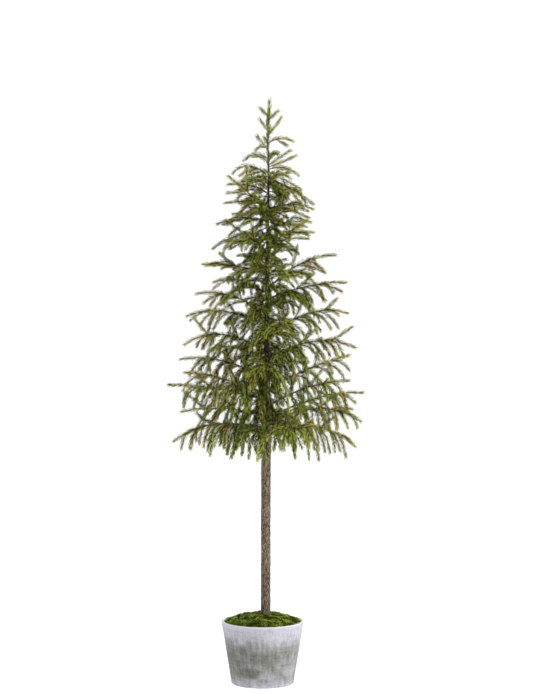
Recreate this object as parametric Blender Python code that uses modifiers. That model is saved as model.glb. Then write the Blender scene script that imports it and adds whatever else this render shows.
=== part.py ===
"""Artificial potted cypress, 58 inches tall: a bare stem with a cone of drooping sprays, in a tapered pot.

Units are metres and +Z is up. The origin is the middle of the pot's flat underside.
Bearings are degrees seen from above: 0 is +X, 90 is +Y.
"""

import math
import random

import bmesh
import bpy
from mathutils import Matrix, Vector, noise

# Whole tree
TREE_HEIGHT = 1.473
GAP = 0.0003

# Pot, filling and moss
POT_HEIGHT = 0.156
POT_RIM_RADIUS = 0.1045
POT_BASE_RADIUS = 0.0785
POT_WALL = 0.0055
POT_FLOOR = 0.010
POT_FOOT_ROUND = 0.003
POT_STEPS = 40
FILL_TOP = 0.132
MOSS_EDGE = 0.152
MOSS_RISE = 0.021
MOSS_LUMP = 0.0035
MOSS_LUMP_SIZE = 0.024
MOSS_RINGS = 7
MOSS_STEPS = 30

# Stem of the tree
STEM_FOOT_X = 0.0078
STEM_LEAN = 0.0105
STEM_TOP = 1.288
STEM_RADIUS = 0.0114
STEM_TIP_RADIUS = 0.0021
STEM_FLARE = 0.0014
STEM_FLARE_HEIGHT = 0.014
CROWN_FOOT = 0.600

# Limbs: a bare bough or a twig from the stem outwards
BOUGH_RADIUS = 0.0027
TWIG_RADIUS = 0.0021
TWIG_TIP_RADIUS = 0.0012
TWIG_STEPS = 4
LIMB_STEPS = 28
LIMB_CURL = 14
ELBOW = 0.004

# Sprays of needles along a limb
SPRAY_RADIUS = 0.0070
SPRAY_WAIST = 0.0046
SPRAY_ROOT = 0.0009
SPRAY_SPACING = 0.0142
SPRAY_LENGTH = 0.104
SPRAY_SHORTENING = 0.58
SPRAY_HANGING = 0.28
SPRAY_STEPS = 5
RISER_LENGTH = 0.066
RISER_EVERY = 6
END_SPRAY = 0.066
OWN_ROOM = 0.0100
TRIES = 9
SAMPLES = 12

# The top shoot
LEADER_END = 0.052
LEADER_BOW = 0.0030

# Base colours
WHITEWASH = (0.55, 0.55, 0.56)
FILLING = (0.16, 0.13, 0.10)
MOSS = (0.10, 0.17, 0.03)
BARK = (0.19, 0.15, 0.11)
NEEDLES = (0.13, 0.17, 0.04)

# One limb a row: height on the stem, bearing, reach, rise at the stem and at the tip in degrees,
# and the share of it that is a bare bough (0 where the foliage starts at the stem).
LIMBS = (
    (0.626, 62, 0.124, 24, -80, 0.0),
    (0.629, 240, 0.116, 22, -80, 0.0),
    (0.634, 126, 0.236, 12, -44, 0.0),
    (0.638, 4, 0.234, 10, -48, 0.25),
    (0.643, 188, 0.240, 10, -38, 0.25),
    (0.650, 291, 0.216, 16, -62, 0.0),
    (0.656, 336, 0.264, 24, -34, 0.25),
    (0.662, 76, 0.225, 18, -36, 0.0),
    (0.670, 20, 0.264, 24, -4, 0.25),
    (0.674, 150, 0.246, 10, -14, 0.0),
    (0.700, 318, 0.258, 24, 0, 0.25),
    (0.706, 240, 0.232, 28, -20, 0.0),
    (0.715, 178, 0.256, 14, -2, 0.25),
    (0.726, 106, 0.228, 28, -22, 0.0),
    (0.730, 209, 0.246, 20, 2, 0.0),
    (0.745, 24, 0.250, 24, 10, 0.25),
    (0.756, 270, 0.222, 30, -28, 0.0),
    (0.772, 190, 0.224, 26, -12, 0.0),
    (0.790, 62, 0.222, 30, -24, 0.0),
    (0.808, 134, 0.226, 26, -24, 0.0),
    (0.824, 346, 0.238, 24, -26, 0.0),
    (0.838, 206, 0.228, 28, -36, 0.0),
    (0.856, 290, 0.210, 32, -30, 0.0),
    (0.876, 14, 0.226, 36, -20, 0.0),
    (0.890, 98, 0.204, 30, -28, 0.0),
    (0.902, 172, 0.208, 26, -26, 0.0),
    (0.930, 216, 0.206, 30, -14, 0.0),
    (0.945, 60, 0.188, 32, -22, 0.0),
    (0.968, 332, 0.222, 18, -4, 0.0),
    (0.982, 142, 0.180, 30, -22, 0.0),
    (0.998, 20, 0.188, 42, -2, 0.0),
    (1.006, 274, 0.160, 34, -28, 0.0),
    (1.034, 190, 0.168, 12, -2, 0.0),
    (1.055, 98, 0.148, 34, -26, 0.0),
    (1.082, 240, 0.138, 34, -40, 0.0),
    (1.100, 310, 0.158, 28, -28, 0.0),
    (1.116, 146, 0.150, 24, -74, 0.0),
    (1.140, 34, 0.132, 26, -14, 0.0),
    (1.160, 270, 0.118, 34, -26, 0.0),
    (1.166, 186, 0.134, 2, -20, 0.0),
    (1.184, 102, 0.112, 30, -24, 0.0),
    (1.191, 207, 0.116, 40, 30, 0.0),
    (1.194, 328, 0.130, 12, -30, 0.0),
    (1.234, 138, 0.108, 32, -34, 0.0),
    (1.250, 256, 0.092, 34, -30, 0.0),
    (1.270, 60, 0.106, 26, -34, 0.0),
    (1.268, 346, 0.118, -26, -40, 0.0),
    (1.279, 176, 0.092, 42, -66, 0.0),
)

# Sprays of the top shoot: height, bearing, length, rise at the root and how fast it bends down.
LEADER_SPRAYS = (
    (1.423, 180, 0.038, 48, 0.0),
    (1.416, 0, 0.039, 46, 0.03),
    (1.406, 268, 0.038, 44, 0.03),
    (1.397, 92, 0.040, 42, 0.03),
    (1.389, 182, 0.041, 54, 0.0),
    (1.376, 356, 0.064, 54, 0.0),
    (1.366, 276, 0.050, 46, 0.06),
    (1.357, 8, 0.075, 36, 0.30),
    (1.352, 104, 0.056, 40, 0.10),
    (1.348, 176, 0.047, 32, -0.22),
    (1.342, 204, 0.044, 34, 0.42),
    (1.318, 182, 0.074, 35, 0.38),
    (1.322, 300, 0.056, 22, 0.20),
    (1.320, 62, 0.070, 34, 0.14),
    (1.312, 326, 0.032, 50, 0.0),
    (1.306, 236, 0.074, 30, 0.20),
    (1.302, 4, 0.074, 36, 0.02),
    (1.298, 350, 0.080, 18, -0.03),
    (1.292, 12, 0.088, 18, 0.27),
)


def stem_axis(z):
    """Middle of the stem at height z: it leans to +X near its top, and the top shoot bows back."""
    share = (z - FILL_TOP) / (TREE_HEIGHT - FILL_TOP)
    shoot = max(z - STEM_TOP, 0.0) / (TREE_HEIGHT - STEM_TOP)
    return Vector((STEM_FOOT_X + STEM_LEAN * share**2.4 - LEADER_BOW * math.sin(math.pi * shoot), 0.0, z))


def stem_radius(z):
    """A straight pole with a slight flare at the moss, tapering from the crown's foot to its tip."""
    if z > CROWN_FOOT:
        share = (z - CROWN_FOOT) / (STEM_TOP - CROWN_FOOT)
        return STEM_TIP_RADIUS + (STEM_RADIUS - STEM_TIP_RADIUS) * (1 - share) ** 1.4
    return STEM_RADIUS + STEM_FLARE * math.exp(-max(z - POT_HEIGHT, 0.0) / STEM_FLARE_HEIGHT)


def heading(bearing, rise):
    """Unit vector for a bearing and a rise above level, in degrees."""
    level = math.cos(math.radians(rise))
    turn = math.radians(bearing)
    return Vector((level * math.cos(turn), level * math.sin(turn), math.sin(math.radians(rise))))


def along(points, share):
    """The point this share of the way along an evenly spaced path."""
    place = share * (len(points) - 1)
    k = min(int(place), len(points) - 2)
    return points[k].lerp(points[k + 1], place - k)


def spray_path(root, way, length, weep):
    """The line of one spray, which starts along a heading and bends down by weep at each step."""
    points = [root]
    for _ in range(SPRAY_STEPS):
        points.append(points[-1] + way * (length / SPRAY_STEPS))
        way = (way - Vector((0, 0, weep))).normalized()
    return points


class Limb:
    """The bent line of one limb, from the stem's bark to the tip of its last spray."""

    def __init__(self, number, height, bearing, reach, rise, fall, bare):
        self.number = number
        self.height = height
        self.bearing = bearing
        self.rise = rise
        self.fall = fall
        self.bare = bare
        self.random = random.Random(100 + number)
        self.curl = self.random.uniform(-LIMB_CURL, LIMB_CURL)
        middles = [(k + 0.5) / LIMB_STEPS for k in range(LIMB_STEPS)]
        level = sum(math.cos(math.radians(self.rise_at(share))) for share in middles) / LIMB_STEPS
        self.length = (reach - stem_radius(height)) / level
        self.sprays_end = 1 - END_SPRAY / self.length
        foot = stem_axis(height) + heading(bearing, 0) * (stem_radius(height) + GAP)
        self.points = [foot, foot + heading(bearing, 0) * ELBOW]
        for share in middles:
            step = self.heading_at(share) * (self.length - ELBOW) / LIMB_STEPS
            self.points.append(self.points[-1] + step)

    def rise_at(self, share):
        return self.rise + (self.fall - self.rise) * share**1.5

    def heading_at(self, share):
        return heading(self.bearing + self.curl * share, self.rise_at(share))

    def at(self, share):
        """The point this share of the way along, past a short level elbow at the stem."""
        if share * self.length <= ELBOW:
            return self.points[0].lerp(self.points[1], share * self.length / ELBOW)
        return along(self.points[1:], (share * self.length - ELBOW) / (self.length - ELBOW))

    def hang(self, share):
        """How freely a spray hangs here, from 0 to 1: most on the low limbs and near the stem."""
        return min(max((1.12 - self.height) / 0.45, 0.0), 1.0) ** 1.5 * (1 - 0.75 * share)

    def side_spray(self, share, side, attempt, rises):
        """A spray to one side, which hangs, or now and then a short one that rises."""
        draw = self.random.uniform
        if rises:
            length = RISER_LENGTH * draw(0.85, 1.15)
            spread, roll, weep = draw(34, 52), draw(35, 75), -0.02
        else:
            length = SPRAY_LENGTH * (1 - SPRAY_SHORTENING * share + SPRAY_HANGING * self.hang(share))
            length *= draw(0.85, 1.12)
            spread, roll = draw(42, 66) - 14 * share, draw(-36, 14) - 4 * attempt
            weep = (0.10 + 0.85 * self.hang(share)) * draw(0.7, 1.3)
        length *= min(1.0, 0.62 + self.length / 0.42) * (1 - 0.05 * attempt)
        ahead = self.heading_at(share)
        aside = ahead.cross(Vector((0, 0, 1))).normalized() * side
        above = aside.cross(ahead) * side
        out = aside * math.cos(math.radians(roll)) + above * math.sin(math.radians(roll))
        way = ahead * math.cos(math.radians(spread)) + out * math.sin(math.radians(spread))
        return spray_path(self.at(share), way, length, weep)

    def end_spray(self):
        """The spray that carries the limb on to its tip, rooted a little way back in the twig."""
        root = self.sprays_end - 0.010 / self.length
        return [self.at(root + (1 - root) * k / SPRAY_STEPS) for k in range(SPRAY_STEPS + 1)]


class Space:
    """The space already taken, as balls sorted into cells, so that no two masses meet."""

    CELL = 0.030

    def __init__(self):
        self.cells = {}

    def cell(self, point):
        return tuple(math.floor(c / self.CELL) for c in point)

    def take(self, owner, point, radius, own_room=0.0):
        self.cells.setdefault(self.cell(point), []).append((owner, point, radius, own_room))

    def is_free(self, owner, point, radius, among_own):
        """Clear of all that others hold and, if asked, of the room of the owner's other sprays."""
        i, j, k = self.cell(point)
        for near in [(i + a, j + b, k + c) for a in (-1, 0, 1) for b in (-1, 0, 1) for c in (-1, 0, 1)]:
            for other, place, size, own_room in self.cells.get(near, ()):
                room = size + radius if other != owner else own_room * among_own
                if (place - point).length < room:
                    return False
        return True

    def fits(self, owner, points):
        """Whether a spray keeps clear: its root may lie by its own limb and its neighbours."""
        for k in range(2, SAMPLES + 1):
            if not self.is_free(owner, along(points, k / SAMPLES), SPRAY_RADIUS + 0.001, k > 5):
                return False
        return True

    def take_spray(self, owner, points):
        for k in range(2, SAMPLES + 1):
            self.take(owner, along(points, k / SAMPLES), SPRAY_RADIUS, OWN_ROOM if k > 4 else 0.0)

    def take_limb(self, limb):
        for k in range(1, 61):
            clothed = k / 60 > limb.sprays_end
            self.take(limb.number, limb.at(k / 60), SPRAY_RADIUS if clothed else BOUGH_RADIUS)

    def take_stem(self):
        for k in range(80):
            z = CROWN_FOOT - 0.15 + (STEM_TOP - CROWN_FOOT + 0.15) * k / 80
            self.take("stem", stem_axis(z), stem_radius(z) + 0.003)


def grow_sprays(limb, space):
    """The side sprays of one limb, left and right in turn, each tried a few times before it is skipped."""
    start = max(limb.bare + 0.02, 0.06)
    count = round((limb.sprays_end - start) * limb.length / SPRAY_SPACING)
    grown = []
    for k in range(count):
        share = start + (limb.sprays_end - start) * (k + 0.5) / count
        rises = k % RISER_EVERY == RISER_EVERY - 2
        for attempt in range(TRIES):
            points = limb.side_spray(share, 1 if k % 2 else -1, attempt, rises)
            if space.fits(limb.number, points):
                space.take_spray(limb.number, points)
                grown.append(points)
                break
    return grown


def leader_sprays():
    """The sprays of the top shoot, the one at its tip last."""
    sprays = []
    for z, bearing, length, rise, weep in LEADER_SPRAYS:
        sprays.append(spray_path(stem_axis(z), heading(bearing, rise), length, weep))
    root = TREE_HEIGHT - LEADER_END - 0.008
    sprays.append([stem_axis(root + (TREE_HEIGHT - root) * k / SPRAY_STEPS) for k in range(SPRAY_STEPS + 1)])
    return sprays


def new_collection(name):
    collection = bpy.data.collections.new(name)
    bpy.context.scene.collection.children.link(collection)
    return collection


def add_object(name, data, collection, colour, roughness):
    """A named object with a material of its own."""
    material = bpy.data.materials.new(name)
    material.use_nodes = True
    shader = material.node_tree.nodes["Principled BSDF"]
    shader.inputs["Base Color"].default_value = (*colour, 1.0)
    shader.inputs["Roughness"].default_value = roughness
    shader.inputs["Metallic"].default_value = 0.0
    data.materials.append(material)
    obj = bpy.data.objects.new(name, data)
    collection.objects.link(obj)
    return obj


def tube(name, points, radii, smoothness, collection):
    """A tapering limb of bark: a poly curve with filled caps."""
    curve = bpy.data.curves.new(name, "CURVE")
    curve.dimensions = "3D"
    curve.bevel_depth = 1.0
    curve.bevel_resolution = smoothness
    curve.use_fill_caps = True
    spline = curve.splines.new("POLY")
    spline.points.add(len(points) - 1)
    for place, point, radius in zip(spline.points, points, radii):
        place.co = (*point, 1.0)
        place.radius = radius
    return add_object(name, curve, collection, BARK, 0.90)


def section(point, ahead, aside, radius, twist):
    """Matrix that puts a unit circle round a path, square to its heading and turned by twist degrees."""
    across = (aside - ahead * aside.dot(ahead)).normalized()
    turned = Matrix((across, ahead.cross(across), ahead)).transposed().to_4x4()
    twisted = turned @ Matrix.Rotation(math.radians(twist), 4, "Z")
    return Matrix.Translation(point) @ twisted @ Matrix.Scale(radius, 4)


def grow_solid(sections, sides, tip=None):
    """A mesh from a flat first section, drawn out from section to section and closed flat or at a tip."""
    bm = bmesh.new()
    bmesh.ops.create_circle(bm, cap_ends=True, segments=sides, radius=1.0, matrix=sections[0])
    rim = bm.edges[:]
    for before, after in zip(sections, sections[1:]):
        made = bmesh.ops.extrude_edge_only(bm, edges=rim)["geom"]
        rim = [item for item in made if isinstance(item, bmesh.types.BMEdge)]
        ring = [item for item in made if isinstance(item, bmesh.types.BMVert)]
        bmesh.ops.transform(bm, matrix=after @ before.inverted(), verts=ring)
    if tip:
        bmesh.ops.pointmerge(bm, verts=ring, merge_co=tip)
    else:
        bmesh.ops.holes_fill(bm, edges=rim)
    bmesh.ops.recalc_face_normals(bm, faces=bm.faces)
    mesh = bpy.data.meshes.new("growth")
    bm.to_mesh(mesh)
    bm.free()
    return mesh


def spray_mesh(points):
    """A spray of needles: a three-sided core with two rings of barbs that point along it."""
    profile = (
        (0.0, SPRAY_ROOT, 0),
        (0.38, SPRAY_RADIUS * 0.9, 60),
        (0.42, SPRAY_WAIST, 60),
        (0.92, SPRAY_RADIUS * 0.85, 0),
    )
    aside = (points[1] - points[0]).cross(Vector((0, 0, 1)))
    if aside.length < 0.05 * (points[1] - points[0]).length:
        aside = Vector((1, 0, 0))
    sections = []
    for share, radius, twist in profile:
        ahead = (along(points, share + 0.06) - along(points, max(share - 0.06, 0.0))).normalized()
        sections.append(section(along(points, share), ahead, aside, radius, twist))
    return grow_solid(sections, 3, tip=points[-1])


def join_mass(name, twig, sprays, shade, collection):
    """One solid from a twig and its sprays, by a Boolean union."""
    mass = add_object(name, twig, collection, [shade * c for c in NEEDLES], 0.70)
    helpers = new_collection("helpers")
    for points in sprays:
        helpers.objects.link(bpy.data.objects.new("spray", spray_mesh(points)))
    union = mass.modifiers.new("sprays", "BOOLEAN")
    union.operation = "UNION"
    union.operand_type = "COLLECTION"
    union.collection = helpers
    union.solver = "MANIFOLD"
    graph = bpy.context.evaluated_depsgraph_get()
    joined = bpy.data.meshes.new_from_object(mass.evaluated_get(graph))
    mass.modifiers.clear()
    mass.data = joined
    for helper in list(helpers.objects):
        bpy.data.objects.remove(helper)
    bpy.data.collections.remove(helpers)


def make_mass(limb, sprays, collection):
    """The clothed part of a limb: its twig, its side sprays and the spray at its tip."""
    start = limb.bare + GAP / limb.length if limb.bare else 0.0
    sections = []
    for k in range(TWIG_STEPS + 1):
        share = start + (limb.sprays_end - start) * k / TWIG_STEPS
        ahead = heading(limb.bearing, 0) if share == 0 else limb.heading_at(share)
        radius = TWIG_RADIUS + (TWIG_TIP_RADIUS - TWIG_RADIUS) * k / TWIG_STEPS
        sections.append(section(limb.at(share), ahead, heading(limb.bearing + 90, 0), radius, -90))
    shade = limb.random.uniform(0.8, 1.2)
    sprays = [*sprays, limb.end_spray()]
    join_mass(f"foliage_{limb.number:02d}", grow_solid(sections, 3), sprays, shade, collection)


def make_leader(collection):
    """The shoot above the stem's tip, with short sprays that point up."""
    foot = STEM_TOP + GAP
    sections = []
    for k in range(TWIG_STEPS + 1):
        centre = stem_axis(foot + (TREE_HEIGHT - LEADER_END - foot) * k / TWIG_STEPS)
        radius = TWIG_RADIUS + (TWIG_TIP_RADIUS - TWIG_RADIUS) * k / TWIG_STEPS
        sections.append(section(centre, Vector((0, 0, 1)), Vector((1, 0, 0)), radius, 45))
    join_mass("foliage_leader", grow_solid(sections, 4), leader_sprays(), 1.0, collection)


def make_bough(limb, collection):
    """The bare inner part of a limb."""
    shares = [0.0, ELBOW / limb.length, limb.bare / 3, limb.bare * 2 / 3, limb.bare]
    radii = [BOUGH_RADIUS + (TWIG_RADIUS - BOUGH_RADIUS) * share / limb.bare for share in shares]
    tube(f"bough_{limb.number:02d}", [limb.at(share) for share in shares], radii, 1, collection)


def make_stem(collection):
    """The tree's stem, with a flat foot on the filling."""
    heights = [FILL_TOP + GAP, POT_HEIGHT, POT_HEIGHT + 0.014, POT_HEIGHT + 0.035, 0.30, 0.45, CROWN_FOOT]
    heights += [CROWN_FOOT + (STEM_TOP - CROWN_FOOT) * k / 8 for k in range(1, 9)]
    tube("stem", [stem_axis(z) for z in heights], [stem_radius(z) for z in heights], 4, collection)


def turned(name, profile, steps, collection, colour, roughness):
    """A solid of revolution about the Z axis, from a profile of (radius, height) pairs."""
    bm = bmesh.new()
    points = [bm.verts.new((radius, 0.0, height)) for radius, height in profile]
    for a, b in zip(points, points[1:]):
        bm.edges.new((a, b))
    mesh = bpy.data.meshes.new(name)
    bm.to_mesh(mesh)
    bm.free()
    obj = add_object(name, mesh, collection, colour, roughness)
    spin = obj.modifiers.new("turn", "SCREW")
    spin.steps = steps
    spin.render_steps = steps
    spin.use_merge_vertices = True
    spin.merge_threshold = 0.0001
    return obj


def pot_radius(z):
    """Outer radius of the pot's wall."""
    return POT_BASE_RADIUS + (POT_RIM_RADIUS - POT_BASE_RADIUS) * z / POT_HEIGHT


def arc(radius, height, size, start, end, steps):
    """Points of a profile round a centre, from one angle to another in degrees."""
    turns = [math.radians(start + (end - start) * k / steps) for k in range(steps + 1)]
    return [(radius + size * math.cos(turn), height + size * math.sin(turn)) for turn in turns]


def make_pot(collection):
    """A tapered pot with a rounded lip and a rounded foot."""
    lip = POT_WALL / 2
    foot = POT_FOOT_ROUND
    profile = [(0.0, POT_FLOOR), (pot_radius(POT_FLOOR) - POT_WALL, POT_FLOOR)]
    profile += arc(pot_radius(POT_HEIGHT - lip) - lip, POT_HEIGHT - lip, lip, 180, 0, 5)
    profile += arc(pot_radius(foot) - foot, foot, foot, 0, -90, 3)
    profile.append((0.0, 0.0))
    turned("pot", profile, POT_STEPS, collection, WHITEWASH, 0.85)


def make_fill(collection):
    """The weighted filling that holds the stem."""
    low = POT_FLOOR + GAP
    walls = [(pot_radius(z) - POT_WALL - 2 * GAP, z) for z in (FILL_TOP, low)]
    turned("pot_fill", [(0.0, FILL_TOP), *walls, (0.0, low)], POT_STEPS, collection, FILLING, 0.95)


def make_moss(collection):
    """A lumpy ring of moss on the filling, round the stem's foot, level with the lip at the wall."""
    inner = STEM_RADIUS + STEM_FLARE + 2 * GAP
    low = FILL_TOP + GAP
    edge_low = pot_radius(low) - POT_WALL - 2 * GAP
    edge = pot_radius(MOSS_EDGE) - POT_WALL - 3 * GAP
    profile = [(inner, low), (inner, MOSS_EDGE + 0.8 * MOSS_RISE)]
    for k in range(1, MOSS_RINGS):
        share = k / MOSS_RINGS
        profile.append((inner + (edge - inner) * share, MOSS_EDGE + MOSS_RISE * (1 - share**2.4)))
    profile += [(edge, MOSS_EDGE), (edge_low, low), (inner, low)]
    ring = turned("moss", profile, MOSS_STEPS, collection, MOSS, 0.95)
    graph = bpy.context.evaluated_depsgraph_get()
    mesh = bpy.data.meshes.new_from_object(ring.evaluated_get(graph))
    ring.modifiers.clear()
    ring.data = mesh
    for vertex in mesh.vertices:
        share = (vertex.co.to_2d().length - inner) / (edge - inner)
        vertex.co.x += STEM_FOOT_X * max(1 - share, 0.0)
        if vertex.co.z > low + 0.002 and 0.05 < share < 0.97:
            vertex.co.z += MOSS_LUMP * noise.noise(vertex.co / MOSS_LUMP_SIZE)


def main():
    for obj in list(bpy.data.objects):
        bpy.data.objects.remove(obj)
    parts = new_collection("potted_cypress")
    make_pot(parts)
    make_fill(parts)
    make_moss(parts)
    make_stem(parts)
    make_leader(parts)

    limbs = [Limb(number, *row) for number, row in enumerate(LIMBS, 1)]
    space = Space()
    space.take_stem()
    for points in leader_sprays():
        space.take_spray("leader", points)
    for limb in limbs:
        space.take_limb(limb)
    for limb in limbs:
        if limb.bare:
            make_bough(limb, parts)
        make_mass(limb, grow_sprays(limb, space), parts)


main()
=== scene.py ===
import itertools
import math
import random

import bmesh
import bpy
import numpy as np
from mathutils import Matrix, Vector, noise


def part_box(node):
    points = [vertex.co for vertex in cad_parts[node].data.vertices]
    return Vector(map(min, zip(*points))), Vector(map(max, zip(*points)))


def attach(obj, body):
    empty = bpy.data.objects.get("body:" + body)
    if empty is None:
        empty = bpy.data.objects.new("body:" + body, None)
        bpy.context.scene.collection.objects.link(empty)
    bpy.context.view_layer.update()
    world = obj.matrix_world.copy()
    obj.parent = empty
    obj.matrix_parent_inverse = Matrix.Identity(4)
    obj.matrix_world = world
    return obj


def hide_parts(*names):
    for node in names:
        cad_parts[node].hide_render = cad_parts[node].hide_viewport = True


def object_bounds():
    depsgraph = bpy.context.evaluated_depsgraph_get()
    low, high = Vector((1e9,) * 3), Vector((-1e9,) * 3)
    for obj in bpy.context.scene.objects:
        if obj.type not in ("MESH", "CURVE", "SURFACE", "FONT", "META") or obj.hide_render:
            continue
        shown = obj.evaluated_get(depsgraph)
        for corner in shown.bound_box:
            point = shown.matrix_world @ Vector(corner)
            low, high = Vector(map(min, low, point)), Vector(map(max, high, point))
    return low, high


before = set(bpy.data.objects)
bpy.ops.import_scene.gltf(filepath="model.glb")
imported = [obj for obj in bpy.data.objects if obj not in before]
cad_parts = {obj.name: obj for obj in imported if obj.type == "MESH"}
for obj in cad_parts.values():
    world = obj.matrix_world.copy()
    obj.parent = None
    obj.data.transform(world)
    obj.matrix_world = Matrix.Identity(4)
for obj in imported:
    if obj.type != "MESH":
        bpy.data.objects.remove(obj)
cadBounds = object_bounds()
massNodes = sorted(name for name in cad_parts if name.startswith("foliage_"))
boughNodes = sorted(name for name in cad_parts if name.startswith("bough_"))
print("frame:", len(massNodes), "masses,", len(boughNodes), "boughs")


def operator(operation, reflected=False):
    def apply(self, other):
        values = (other, self) if reflected else (self, other)
        return self.tree.add("ShaderNodeMath", {"operation": operation}, dict(enumerate(values)))

    return apply


# a socket, so that sums of sockets are written as Python expressions
class Wire:
    def __init__(self, tree, socket):
        self.tree = tree
        self.socket = socket

    __add__ = operator("ADD")
    __radd__ = operator("ADD", True)
    __sub__ = operator("SUBTRACT")
    __rsub__ = operator("SUBTRACT", True)
    __mul__ = operator("MULTIPLY")
    __rmul__ = operator("MULTIPLY", True)
    __truediv__ = operator("DIVIDE")
    __pow__ = operator("POWER")


# the nodes of a material or the world, with one method for every node that isn't a sum
class Tree:
    def __init__(self, owner):
        owner.use_nodes = True
        self.nodes = owner.node_tree.nodes
        self.links = owner.node_tree.links

    def find(self, sockets, key):
        if isinstance(key, int):
            return sockets[key]
        return next(socket for socket in sockets if socket.enabled and socket.name == key)

    def set(self, node, key, value):
        socket = self.find(node.inputs, key)
        if isinstance(value, Wire):
            self.links.new(value.socket, socket)
        elif socket.type == "RGBA":
            socket.default_value = (*value, 1.0)
        else:
            socket.default_value = value

    def add(self, kind, settings, inputs, output=0):
        node = self.nodes.new(kind)
        for key, value in settings.items():
            if key == "stops":
                self.fillRamp(node.color_ramp, value)
            else:
                setattr(node, key, value)
        for key, value in inputs.items():
            self.set(node, key, value)
        return Wire(self, self.find(node.outputs, output))

    def fillRamp(self, ramp, stops):
        while len(ramp.elements) < len(stops):
            ramp.elements.new(0.5)
        for element, (place, colour) in zip(ramp.elements, stops):
            element.position = place
            element.color = (*colour, 1.0)


class Finish(Tree):
    def __init__(self, name, colour, roughness, specular=0.5):
        self.material = bpy.data.materials.new(name)
        super().__init__(self.material)
        self.shader = self.nodes["Principled BSDF"]
        self.set(self.shader, "Base Color", colour)
        self.set(self.shader, "Roughness", roughness)
        self.set(self.shader, "Specular IOR Level", specular)

    def places(self, scale=(1, 1, 1), turn=(0, 0, 0)):
        coordinates = self.add("ShaderNodeTexCoord", {}, {}, "Object")
        settings = {"Vector": coordinates, "Scale": scale, "Rotation": turn}
        return self.add("ShaderNodeMapping", {}, settings)

    def noise(self, places, scale, detail=3.0, roughness=0.55, distortion=0.0):
        inputs = {"Vector": places, "Scale": scale, "Detail": detail, "Roughness": roughness}
        return self.add("ShaderNodeTexNoise", {}, inputs | {"Distortion": distortion})

    def ramp(self, value, *stops):
        return self.add("ShaderNodeValToRGB", {"stops": stops}, {"Fac": value})

    def step(self, value, low, high):
        inputs = {"Value": value, "From Min": low, "From Max": high}
        return self.add("ShaderNodeMapRange", {"interpolation_type": "SMOOTHSTEP"}, inputs)

    def mix(self, share, one, other, blend="MIX"):
        settings = {"data_type": "RGBA", "blend_type": blend}
        return self.add("ShaderNodeMix", settings, {"Factor": share, "A": one, "B": other}, "Result")

    def paint(self, tint, height, distance, strength=1.0):
        self.set(self.shader, "Base Color", tint)
        inputs = {"Height": height, "Distance": distance, "Strength": strength}
        self.set(self.shader, "Normal", self.add("ShaderNodeBump", {}, inputs))


# the tree grows by the same values, and the same draws in the same order, as its solids
stemLine = {
    "base": 0.132,  # top of the pot's filling
    "top": 1.473,  # tip of the tree
    "end": 1.288,  # where the top shoot starts
    "footX": 0.0078,
    "lean": 0.0105,
    "radius": 0.0114,
    "tipRadius": 0.0021,
    "flare": 0.0014,  # at the moss
    "flareFrom": 0.156,
    "flareHeight": 0.014,
    "crownFoot": 0.600,
    "shootBow": 0.0030,
}
growth = {
    "gap": 0.0003,
    "boughRadius": 0.0027,
    "twigRadius": 0.0021,
    "twigTipRadius": 0.0012,
    "limbSteps": 28,
    "limbCurl": 14,
    "bareShare": 0.25,
    "elbow": 0.004,
    "sprayRadius": 0.0070,
    "spraySpacing": 0.0142,
    "sprayLength": 0.104,
    "sprayShortening": 0.58,
    "sprayHanging": 0.28,
    "spraySteps": 5,
    "spread": (42, 66),  # angle between a spray and its limb
    "roll": (-36, 14),  # how far a spray is turned down or up round its limb
    "weep": (0.10, 0.85),  # how fast it bends down: at least, and more where it hangs freely
    "shortLimb": (0.62, 0.42),  # short limbs have shorter sprays
    "hangFrom": 1.12,  # below this height the sprays hang more
    "hangOver": 0.45,
    "riserLength": 0.066,  # of the short sprays that rise
    "riserEvery": 6,
    "riserSpread": (34, 52),
    "riserRoll": (35, 75),
    "riserWeep": -0.02,
    "endSpray": 0.066,
    "endRoot": 0.010,
    "ownRoom": 0.0100,
    "tries": 9,
    "samples": 12,
    "leaderEnd": 0.052,
    "leaderRoot": 0.008,
}

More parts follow.
